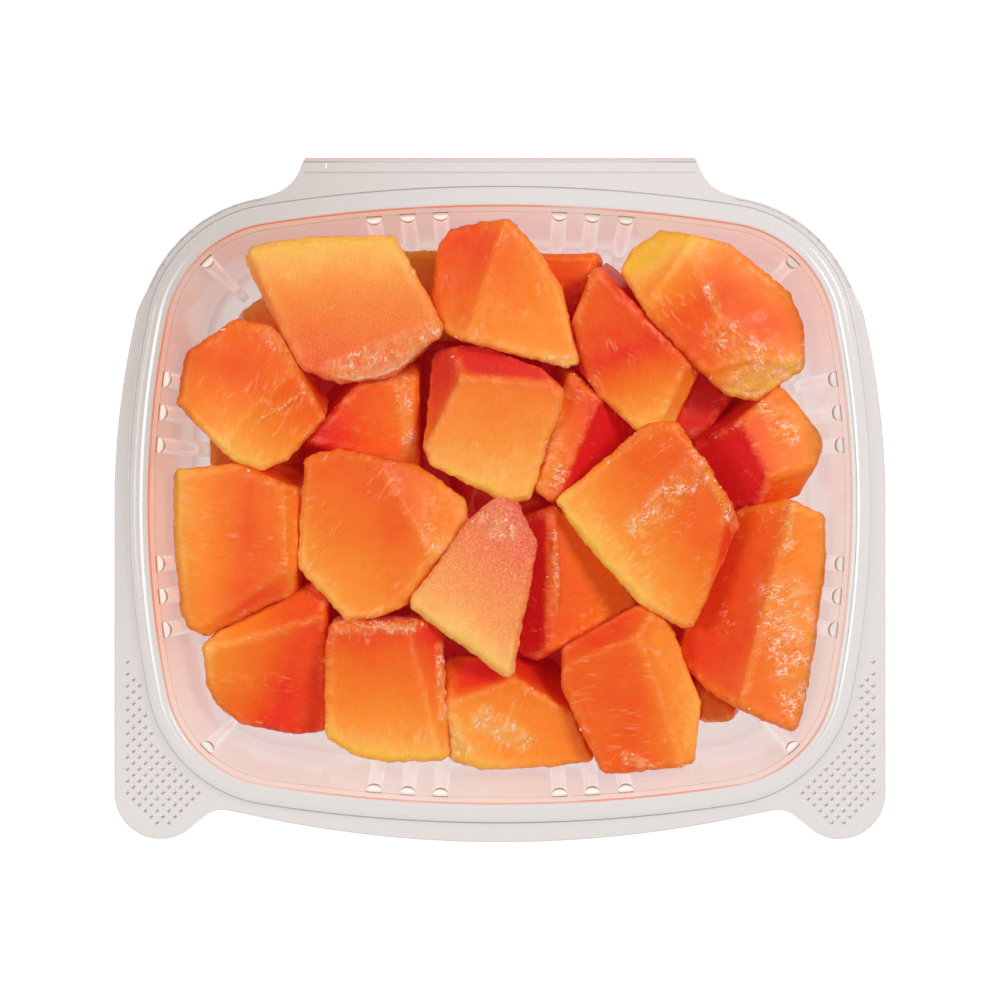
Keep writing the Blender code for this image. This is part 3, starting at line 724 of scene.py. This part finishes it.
# Where the flesh is torn, as strokes across a chunk seen from above: both ends and half the width
TORN = dict(
    chunk_back_left=[((-40, 31), (-16, 40.5), 2.4)],
    chunk_left_back=[((-56, 40), (-39, 25), 1.6), ((-58, 19), (-47, 26), 0.4)],
    chunk_back_middle=[((12, 33), (20, 33), 2.2)],
    chunk_back_right=[((54, 39), (65, 30), 4.5), ((57, 27), (69, 31), 4.0), ((50, 51), (55, 38), 1.2)],
    chunk_right=[((65, 23), (69, 16), 3.0)],
    chunk_behind_middle=[((10, 26), (12, 5), 4.0)],
    chunk_left_gap=[((-24, 30), (-22, 12), 1.6)],
    chunk_left_of_middle=[((-17, -8), (-15, -11), 2.0)],
    chunk_wedge_on_top=[((-2, -2), (1, -8), 3.0)],
    chunk_right_of_middle=[((46, 14), (56, -6), 1.2), ((34, -5.5), (46, 6), 3.4)],
    chunk_right_front=[((70, -2), (69, -12), 1.0), ((68, -24), (74, -50), 6.0)],
    chunk_left=[((-47, 8), (-46, -12), 1.6)],
    chunk_front_left=[((-39, -29.5), (-21, -29.5), 2.4), ((-14, -36), (-13, -52), 1.6)],
    chunk_front_middle=[((-4, -53), (5, -58), 3.0), ((-12, -54), (-9, -62), 2.2)],
    chunk_front_right=[((31, -62), (37, -66), 1.6)],
    chunk_red_middle=[((13, -8), (14, -24), 0.6)],
)

# Steep faces drawn deeper in the flesh, so redder, or shallower, so paler: partly the colour they had
# next to the seed hollow or the peel, partly painted shade on faces turned from the lamps. The heading
# a face looks to, and how much deeper in the flesh it lies than its place says
FACE_DEPTH_AND_SHADE = dict(
    chunk_middle=[(160, 13.0), (81, 17.0), (-60, -1.0)],
    chunk_right=[(205, 17.0), (-61, 2.0)],
    chunk_red_middle=[(185, 9.0), (-10, 1.0)],
    chunk_front_middle=[(110, 17.0), (22, 5.0)],
    chunk_right_front=[(165, 8.0)],
    chunk_left_front=[(-72, 9.0), (105, 2.0)],
    chunk_back_middle=[(163, 7.0)],
    chunk_behind_middle=[(-23, 14.0), (157, -2.0)],
    chunk_left_gap=[(130, 5.0), (-90, 8.0)],
    chunk_back_right_leaning=[(20, 7.0)],
    chunk_front_right=[(120, 2.5), (5, -6.0)],
    chunk_left_back=[(-50, -3.0)],
    chunk_left_of_middle=[(25, -5.0), (200, -2.0)],
    chunk_front_left=[(0, 3.0)],
    chunk_right_of_middle=[(-20, 5.0), (-70, 8.0)],
    chunk_back_left=[(205, -2.0), (-80, 1.0)],
    chunk_left=[(0, -2.0), (-65, 4.0)],
    chunk_back_right=[(-72, -5.0), (200, 2.0)],
)

# How coarse and sugary the cut looks, where it isn't smooth
SUGARY = dict(chunk_wedge_on_top=0.75, chunk_back_left=0.3, chunk_middle=0.12)

# Millimetres: a cell of the fine mesh, and how far a knife edge stands out of its neighbours
EVEN_MESH = 0.7
EDGE_RISE = 0.07
# How many rounds soften the change of depth, painted shade with it, between the faces of a chunk
DEPTH_ROUNDS = 30
# How far each chunk's waves and fibres are moved on from those of the chunk before
SEED_SHIFT = (17.3, -9.1, 5.7)


def distance_to_stroke(x, y, start, end):
    along = Vector(end) - Vector(start)
    away = Vector((x, y)) - Vector(start)
    share = grown(away.dot(along) / along.length_squared, 0.0, 1.0)
    return (away - along * share).length


def smooth_step(value, low, high):
    share = grown(value, low, high)
    return share * share * (3 - 2 * share)


def spread(mesh, values, rounds):
    """Each point's values averaged with its neighbours', so many times over."""
    ends = np.zeros(len(mesh.edges) * 2, np.int32)
    mesh.edges.foreach_get("vertices", ends)
    ends = ends.reshape(-1, 2)
    tally = np.maximum(np.bincount(ends.ravel(), minlength=len(values)), 1)
    for _ in range(rounds):
        total = [
            np.bincount(ends[:, 0], lane[ends[:, 1]], len(values))
            + np.bincount(ends[:, 1], lane[ends[:, 0]], len(values))
            for lane in values.T
        ]
        values = 0.5 * values + 0.5 * np.stack(total, 1) / tally[:, None]
    return values


def edge_shares(mesh, places, normals):
    """0 on a flat cut and 1 along a knife edge, by how far a point stands out of its neighbours."""
    stands_out = 2 * ((places - spread(mesh, places, 1)) * normals).sum(1, keepdims=True)
    share = spread(mesh, np.clip(stands_out / EDGE_RISE, 0.0, 1.0), 3)
    return np.clip(share[:, 0] * 1.5, 0.0, 1.0)


def depth_below_peel(name, x, y):
    depth = 99.0
    for peel_x, peel_y, inward, start, rate in PEEL[name]:
        reach = heading(inward).dot(Vector((x - peel_x, y - peel_y)))
        depth = min(depth, start + rate * reach)
    return depth


def face_depth_and_shade(name, level):
    """How much deeper a steep face is drawn in the flesh, by the level part of its normal, partly
    for its colour and partly as painted shade on steep sides.
    """
    deeper = 1.5 if name not in FACE_DEPTH_AND_SHADE else 0.0
    for faces_to, extra in FACE_DEPTH_AND_SHADE.get(name, ()):
        deeper += extra * smooth_step(level.normalized().dot(heading(faces_to)), 0.45, 0.85)
    return deeper * smooth_step(level.length, 0.22, 0.6) + 4.0 * smooth_step(level.length, 0.8, 0.98)


def torn_share(name, x, y):
    torn = 0.0
    for start, end, width in TORN.get(name, ()):
        away = distance_to_stroke(x, y, start, end)
        torn = max(torn, 1 - smooth_step(away, width * 0.4, width * 1.5))
    return torn


def cut_waves(spot, offset, torn, edge):
    """How far a point moves out of its cut: long waves, grain, torn shreds and ragged edges."""
    broad = noise.noise((spot + offset) / 15.0) * 0.4 + noise.noise((spot - offset) / 5.0) * 0.14
    fine = noise.noise((spot + offset) / 1.8) * 0.06
    ragged = 0.0
    if torn > 0.01:
        ragged = torn * (noise.noise(spot / 2.2 + offset) * 0.4 + noise.noise(spot) * 0.2)
    torn_edge = noise.noise((spot - offset) / 2.1) * 0.4 + noise.noise((spot + offset) / 0.95) * 0.25
    return broad + fine + ragged + 0.25 + edge * torn_edge


def even_piece(name):
    """A fine even mesh over the chunk's solid, softened and drawn back most of the way to its cuts."""
    bm = bmesh.new()
    bm.from_mesh(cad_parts[name].data)
    bmesh.ops.remove_doubles(bm, verts=bm.verts[:], dist=0.01 * MM)
    mesh = bpy.data.meshes.new(name + "_flesh")
    bm.to_mesh(mesh)
    cuts = BVHTree.FromBMesh(bm)
    bm.free()
    piece = show(name.replace("chunk_", "papaya_"), mesh)
    even = piece.modifiers.new("even_mesh", "REMESH")
    even.mode = "VOXEL"
    even.voxel_size = EVEN_MESH * MM
    soften = piece.modifiers.new("soft_edges", "SMOOTH")
    soften.factor = 0.5
    soften.iterations = 2
    apply_modifiers(piece)
    mesh = piece.data
    places = np.zeros(len(mesh.vertices) * 3)
    mesh.vertices.foreach_get("co", places)
    places = places.reshape(-1, 3) / MM
    for i, place in enumerate(places):
        on_cut = cuts.find_nearest(Vector(place) * MM)[0] / MM
        places[i] = place * 0.15 + np.array(on_cut) * 0.85
    mesh.vertices.foreach_set("co", (places * MM).ravel())
    mesh.update()
    return piece, places


def cut_chunk(name, seed):
    """The chunk's flesh, with what its finish needs: depth, fibres, edges and torn patches."""
    piece, places = even_piece(name)
    mesh = piece.data
    normals = np.zeros(places.size, np.float32)
    mesh.vertex_normals.foreach_get("vector", normals)
    normals = normals.reshape(-1, 3)
    edges = edge_shares(mesh, places, normals)
    offset = Vector([seed * shift for shift in SEED_SHIFT])
    lengthwise = heading(PEEL[name][0][2])
    crosswise = Vector((-lengthwise.y, lengthwise.x))
    depths, deeper_and_shaded, torn_shares, lays = [], [], [], []
    moved = places.copy()
    for i, place in enumerate(places):
        spot = Vector(place)
        x, y, z = spot
        flat = Vector((x, y))
        level = Vector((normals[i][0], normals[i][1]))
        torn = torn_share(name, x, y)
        torn_shares.append(torn)
        depths.append(depth_below_peel(name, x, y))
        deeper_and_shaded.append((1 - 0.6 * edges[i]) * face_depth_and_shade(name, level))
        lays += (lengthwise.dot(flat) + offset.x, crosswise.dot(flat) + offset.y, z)
        moved[i] = place + normals[i] * cut_waves(spot, offset, torn, edges[i])
    softened = spread(mesh, np.array(deeper_and_shaded)[:, None], DEPTH_ROUNDS)[:, 0]
    mesh.vertices.foreach_set("co", (moved * MM).ravel())
    store(mesh, depth=np.array(depths) + softened - 3.0 * edges, torn=torn_shares, edge=edges,
          sugary=[SUGARY.get(name, 0.0)] * len(places))
    mesh.attributes.new("lay", "FLOAT_VECTOR", "POINT").data.foreach_set("vector", lays)
    mesh.shade_smooth()
    mesh.update()
    return piece


# A painted crimson glow in the flesh and the juice, for light that comes up through the clear tub and
# the wet flesh, so that the seams stay crimson
SEAM_GLOW_RED = paint(206, 34, 44)


def flesh_finish():
    flesh = Finish("papaya_flesh")
    place = flesh.place()
    lay = flesh.node("Attribute", {"attribute_name": "lay"}, output="Vector")
    along_fibres = flesh.scaled(lay, (0.24, 1.0, 1.0))
    half_along = flesh.scaled(lay, (0.5, 1.0, 1.0))
    depth = flesh.stored("depth")
    torn = flesh.stored("torn")
    edge = flesh.stored("edge")
    broad = flesh.clouds(place, 80.0)
    mottle = flesh.clouds(lay, 0.4, detail=4.0, roughness=0.6)
    fibres = flesh.clouds(along_fibres, 1.5, detail=3.0, roughness=0.6, distortion=0.4)
    grain = flesh.clouds(lay, 2.6, roughness=0.7)
    steep = 1 - flesh.parts(flesh.node("NewGeometry", output="Normal"))[2].rise(0.35, 0.75)
    shreds = flesh.clouds(half_along, 0.7, detail=4.0, roughness=0.65, distortion=0.6)
    layer = (depth + (broad - 0.5) * 8.0 + (mottle - 0.5) * 6.0 + (fibres - 0.5) * 6.0
             + (grain - 0.5) * 4.0 - torn * 3.0)
    ripe = flesh.ramp(layer / 30.0 + 0.1, [
        (0.00, paint(240, 190, 60)),
        (0.10, paint(247, 190, 80)),
        (0.18, paint(248, 172, 78)),
        (0.28, paint(246, 148, 48)),
        (0.46, paint(241, 124, 28)),
        (0.68, paint(236, 96, 18)),
        (0.86, paint(230, 58, 22)),
        (1.00, paint(222, 32, 34)),
    ])
    light = 0.87 + 0.24 * grain + (mottle - 0.5) * 0.16
    tone = flesh.node("CombineColor", {"mode": "RGB"}, {0: light, 1: light, 2: light})
    colour = flesh.mix(1.0, ripe, tone, "MULTIPLY")
    # Paler fibres, and a painted highlight along the knife edges
    pale_fibres_and_edge_highlight = fibres.rise(0.62, 0.8) * 0.3 + edge * mottle.rise(0.45, 0.62) * 0.18
    colour = flesh.mix(pale_fibres_and_edge_highlight.clamped(), colour, paint(255, 184, 108))
    gel = (torn * shreds.rise(0.45, 0.7)).clamped()
    colour = flesh.mix(gel * 0.5, colour, paint(255, 182, 84))
    sugary = flesh.stored("sugary")
    crystals = grain.rise(0.46, 0.66)
    colour = flesh.mix(sugary * (0.2 + 0.55 * crystals), colour, paint(254, 202, 154))
    wet = (flesh.clouds(place, 100.0).rise(0.5, 0.62) * 0.8 + torn + edge * 0.6).clamped()
    streaks = flesh.scaled(lay, (0.2, 0.7, 0.7))
    combed = flesh.clouds(streaks, 0.75, detail=3.0, roughness=0.5, distortion=1.6)
    # Painted sheen: pale streaks along the fibres where the flesh is wet, weaker on steep faces
    gleam = (combed.rise(0.55, 0.7) * (wet - sugary).clamped() * (1 - steep * 0.6)).clamped()
    colour = flesh.mix(gleam * 0.26, colour, paint(255, 218, 176))
    squiggles = flesh.clouds(flesh.scaled(lay, (0.55, 1.0, 1.0)), 0.9, distortion=0.5)
    patches = flesh.clouds(lay, 0.3, detail=3.0).rise(0.5, 0.58)
    sparkle = squiggles.band(0.5, 0.022, 0.025) * (torn * 1.3).clamped() * patches
    # Painted sheen: a pinkish haze on the torn patches, then painted glints along thin squiggles
    colour = flesh.mix(torn * mottle.rise(0.45, 0.6) * 0.3, colour, paint(255, 158, 116))
    colour = flesh.mix(sparkle * 0.62, colour, paint(255, 240, 226))
    wrinkles = (shreds * 0.7 + grain * 0.5) * (torn + edge * 0.5)
    relief = fibres * 0.3 + grain * (0.3 + sugary * 0.8) + mottle * 0.5 + combed * wet * 0.5
    fine_normal = flesh.bump(relief, 0.0003, 0.6)
    flesh.set(
        Base_Color=colour,
        Roughness=(0.46 - wet * 0.3 + (grain - 0.5) * 0.15).clamped(),
        IOR=1.36,
        Specular_IOR_Level=0.4,
        # Painted light: a faint crimson glow, though the flesh is no lamp
        Emission_Color=SEAM_GLOW_RED,
        Emission_Strength=0.075,
        Subsurface_Weight=0.2,
        Subsurface_Radius=(1.0, 0.3, 0.1),
        Subsurface_Scale=0.0018,
        Normal=flesh.bump(wrinkles, 0.0006, 0.7, fine_normal),
    )
    return flesh.material


flesh_material = flesh_finish()
chunk_pieces = []
for number, name in enumerate(CHUNK_NAMES):
    chunk = cut_chunk(name, number + 1)
    chunk.data.materials.append(flesh_material)
    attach(chunk, "root")
    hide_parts(name)
    chunk_pieces.append(chunk)

# The torn flaps of flesh
#
# Thin films of flesh that the knife left hanging at four cut edges, still grown to their chunks.
# Their free rims roll up a little and are painted paler, a painted highlight along the roll, and
# threads of flesh run through them.

# Points along each flap's rim, how wide it is and how far it rolls up
FLAPS = (
    (((-41.7, 30.0), (-37.0, 28.5), (-29.6, 29.3), (-23.9, 31.5), (-19.2, 35.0), (-14.2, 40.3)),
     4.2, 0.7),
    (((-39.0, -28.4), (-33.4, -30.6), (-26.2, -31.3), (-19.8, -30.2)), 1.8, 0.6),
    (((-13.2, -55.4), (-11.0, -57.5), (-9.3, -60.0), (-9.0, -62.6)), 1.4, 0.5),
    (((12.6, -12.5), (13.0, -18.0), (13.4, -24.0), (13.8, -30.0)), 0.7, 0.3),
)
FLAP_STEPS = 40
# From the rim inward: the share of the width, the share of the roll and how pale it is painted, as a
# painted highlight
FLAP_LANES = ((0.0, 0.25, 0.7), (0.1, 1.0, 1.0), (0.2, 0.75, 0.5), (1.0, 0.3, 0.0))
FLAP_GAP = 0.35
ABOVE_ALL = 60.0


def fruit_top(x, y):
    """How high the fruit reaches at a spot, or None where there is none."""
    hit = chunk_tree.ray_cast(Vector((x, y, ABOVE_ALL)) * MM, Vector((0.0, 0.0, -1.0)))[0]
    return None if hit is None else hit.z / MM


def flap_strips():
    """Strips with a thin rolled rim, laid on the fruit below them."""
    points, faces, rims = [], [], []
    for corners, width, roll in FLAPS:
        corners = [Vector(corner) for corner in corners]
        start = len(points)
        for count in range(FLAP_STEPS + 1):
            share = count / FLAP_STEPS * (len(corners) - 1)
            piece = min(int(share), len(corners) - 2)
            spot = corners[piece].lerp(corners[piece + 1], share - piece)
            before, after = corners[max(piece - 1, 0)], corners[min(piece + 2, len(corners) - 1)]
            along = (after - before).normalized()
            inward = Vector((-along.y, along.x))
            taper = math.sin(math.pi * min(max(count / FLAP_STEPS, 0.04), 0.96)) ** 0.5
            wave = 0.5 * noise.noise(Vector((spot.x, spot.y, 0.0)) / 2.0)
            for reach, lift, rim in FLAP_LANES:
                place = spot + inward * (width * taper * reach + wave)
                top = fruit_top(place.x, place.y)
                ground = 20.0 if top is None else top
                points.append((place.x, place.y, ground + FLAP_GAP + roll * lift * taper))
                rims.append(rim * taper)
        for row in range(FLAP_STEPS):
            for lane in range(3):
                corner = start + row * 4 + lane
                faces.append((corner, corner + 1, corner + 5, corner + 4))
    mesh = bpy.data.meshes.new("papaya_flaps")
    mesh.from_pydata([Vector(p) * MM for p in points], [], faces)
    store(mesh, rim=rims)
    mesh.shade_smooth()
    return mesh


flap_finish = Finish("papaya_flaps")
rim = flap_finish.stored("rim")
threads = flap_finish.clouds(flap_finish.place(), 700.0, detail=3.0, distortion=0.8)
flap_finish.set(
    Base_Color=flap_finish.mix(rim, paint(250, 178, 92), paint(255, 226, 178)),
    Roughness=0.15,
    IOR=1.4,
    Alpha=(0.12 + 0.5 * rim + threads.rise(0.5, 0.7) * 0.3).clamped(),
    Normal=flap_finish.bump(threads, 0.0004, 0.6),
)
flaps = show("papaya_flaps", flap_strips())
flaps.data.materials.append(flap_finish.material)
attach(flaps, "root")

# The film of juice
#
# Red juice and soft pulp that ran out of the cut flesh and lies a millimetre deep on the tub's
# floor, wherever chunks lie above it or the gap between them is narrow.

FILM_CELL = 1.5
FILM_GRID_HALF = 80
FILM_HALF_X = 69.0
FILM_HALF_Y = 56.0
FILM_CORNER = 20.0
FILM_HEIGHT = 1.1
FILM_WAVE = 0.25
FILM_CLOSES_GAPS = 4


def within(mask, cells, grow):
    """The mask grown, or shrunk, by a round brush of this many cells."""
    result = mask.copy()
    for dx in range(-cells, cells + 1):
        for dy in range(-cells, cells + 1):
            if dx * dx + dy * dy <= cells * cells:
                moved = np.roll(mask, (dx, dy), (0, 1))
                result = result | moved if grow else result & moved
    return result


def on_floor(x, y):
    """Whether a spot lies on the flat floor, which has round corners."""
    beyond_x = max(abs(x) - (FILM_HALF_X - FILM_CORNER), 0.0)
    beyond_y = max(abs(y) - (FILM_HALF_Y - FILM_CORNER), 0.0)
    return math.hypot(beyond_x, beyond_y) <= FILM_CORNER


def juice_film():
    across = round(2 * FILM_GRID_HALF / FILM_CELL)
    centres = [(i - across / 2 + 0.5) * FILM_CELL for i in range(across)]
    under = np.array([[fruit_top(x, y) is not None for y in centres] for x in centres])
    under = within(within(under, FILM_CLOSES_GAPS, True), FILM_CLOSES_GAPS + 1, False)
    bm = bmesh.new()
    corners = {}
    for i, x in enumerate(centres):
        for j, y in enumerate(centres):
            if not under[i, j] or not on_floor(x, y):
                continue
            ring = []
            for key in ((i, j), (i + 1, j), (i + 1, j + 1), (i, j + 1)):
                if key not in corners:
                    flat = [(count - across / 2) * FILM_CELL for count in key]
                    spot = Vector((*flat, FILM_HEIGHT))
                    spot.z += FILM_WAVE * noise.noise(spot / 6.0)
                    corners[key] = bm.verts.new(spot * MM)
                ring.append(corners[key])
            bm.faces.new(ring)
    mesh = bpy.data.meshes.new("juice_film")
    bm.to_mesh(mesh)
    bm.free()
    mesh.shade_smooth()
    return mesh


film_finish = Finish("juice_film")
pulpy = film_finish.clouds(film_finish.place(), 260.0, detail=4.0, roughness=0.6)
film_finish.set(
    Base_Color=film_finish.ramp(pulpy, [(0.3, paint(214, 24, 30)), (0.7, paint(240, 64, 34))]),
    Roughness=0.16,
    IOR=1.35,
    # Painted light: the juice glows crimson, for light that comes up through the clear floor
    Emission_Color=SEAM_GLOW_RED,
    Emission_Strength=0.2,
    Normal=film_finish.bump(pulpy, 0.0006, 0.7),
)
film = show("juice_film", juice_film())
film.data.materials.append(film_finish.material)
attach(film, "root")

# The drops of juice
#
# Small clear drops that cling to the knife edges and the torn patches facing up, painted near
# white as painted glints. They stand in clusters, and most are drawn out a little along the surface.

DROP_COUNT = 340
# Millimetres: the size of the patches with drops, the height below which none are seen, and the
# smallest drop's radius and how much the largest adds to it
DROP_PATCH = 3.5
DROP_LOWEST = 12
DROP_LEAST = 0.09
DROP_GROWTH = 0.2


def clinging_drops():
    """Small beads of juice at random spots of the edges and torn patches that face up."""
    ball = bmesh.new()
    bmesh.ops.create_icosphere(ball, subdivisions=2, radius=1.0)
    ball_points = [v.co.copy() for v in ball.verts]
    ball_faces = [[v.index for v in face.verts] for face in ball.faces]
    ball.free()
    spots = []
    for chunk in chunk_pieces:
        mesh = chunk.data
        edges, torns = mesh.attributes["edge"].data, mesh.attributes["torn"].data
        for number in range(0, len(mesh.vertices), 3):
            vertex = mesh.vertices[number]
            likely = 0.5 * edges[number].value + torns[number].value
            clustered = noise.noise(vertex.co / (DROP_PATCH * MM)) > 0.05
            seen = vertex.normal.z > 0.25 and vertex.co.z > DROP_LOWEST * MM
            if clustered and seen and likely > 0.35:
                spots.append((vertex.co.copy(), vertex.normal.copy()))
    dice = np.random.default_rng(7)
    points, faces = [], []
    for pick in dice.choice(len(spots), DROP_COUNT, replace=False):
        spot, normal = spots[pick]
        size = (DROP_LEAST + DROP_GROWTH * dice.random() ** 3) * MM
        spin = Matrix.Rotation(dice.uniform(-0.9, 0.9), 3, "Z")
        turn = normal.to_track_quat("Z", "Y").to_matrix() @ spin
        squash = Matrix.Diagonal((1.0 + 1.6 * dice.random() ** 2, 1.0, 0.7))
        start = len(points)
        points += [spot + turn @ (squash @ p) * size for p in ball_points]
        faces += [[start + i for i in face] for face in ball_faces]
    mesh = bpy.data.meshes.new("juice_drops")
    mesh.from_pydata(points, [], faces)
    mesh.shade_smooth()
    return mesh


drop_finish = Finish("juice_drops")
# Painted near white, as painted glints
drop_finish.set(Base_Color=paint(255, 240, 226), Roughness=0.04, IOR=1.5, Alpha=0.7)
drops = show("juice_drops", clinging_drops())
drops.data.materials.append(drop_finish.material)
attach(drops, "root")

# The table, the lights and the camera
#
# A white studio table that fades out of the picture, two large soft lights in a white room, the
# stronger one on the right, and a camera that looks straight down from a metre above the rim.

TABLE_HALF = 1.5
TABLE_DROP = 0.0002
TABLE_GLOW = 1.06
ROOM_LIGHT = 0.47
CAMERA_HEIGHT = 1.046
CAMERA_LENS = 151.3
SENSOR_WIDTH = 36.0
bm = bmesh.new()
bmesh.ops.create_grid(bm, x_segments=2, y_segments=2, size=TABLE_HALF)
table_mesh = bpy.data.meshes.new("table")
bm.to_mesh(table_mesh)
bm.free()
table = show("table", table_mesh)
table.location.z = -TABLE_DROP
white_table = Finish("white_table")
white_table.set(Base_Color=paint(0, 0, 0), Roughness=1.0, Specular_IOR_Level=0.0,
                Emission_Color=SCREEN_WHITE, Emission_Strength=TABLE_GLOW)
table_mesh.materials.append(white_table.material)


def soft_light(name, place, size, power, colour):
    lamp = bpy.data.lights.new(name, "AREA")
    lamp.shape = "RECTANGLE"
    lamp.size, lamp.size_y = size
    lamp.energy = power
    lamp.color = colour
    light = bpy.data.objects.new(name, lamp)
    bpy.context.scene.collection.objects.link(light)
    light.location = place
    light.rotation_euler = (-Vector(place)).to_track_quat("-Z", "Y").to_euler()
    return light


soft_light("right_light", (0.75, 0.4, 1.2), (0.4, 0.4), 9.4, (1.0, 0.99, 0.97))
soft_light("left_light", (-0.85, 0.1, 1.1), (0.4, 0.6), 5.0, (1.0, 0.98, 0.96))
bpy.context.scene.view_settings.view_transform = "Standard"
world = bpy.data.worlds.new("white_room")
bpy.context.scene.world = world
world.use_nodes = True
room = world.node_tree.nodes["Background"].inputs
room["Color"].default_value = (1.0, 1.0, 1.0, 1.0)
room["Strength"].default_value = ROOM_LIGHT

camera_data = bpy.data.cameras.new("camera")
camera_data.lens = CAMERA_LENS
camera_data.sensor_width = SENSOR_WIDTH
camera = bpy.data.objects.new("camera", camera_data)
bpy.context.scene.collection.objects.link(camera)
camera.location = (0.0, 0.0, CAMERA_HEIGHT)
bpy.context.scene.camera = camera
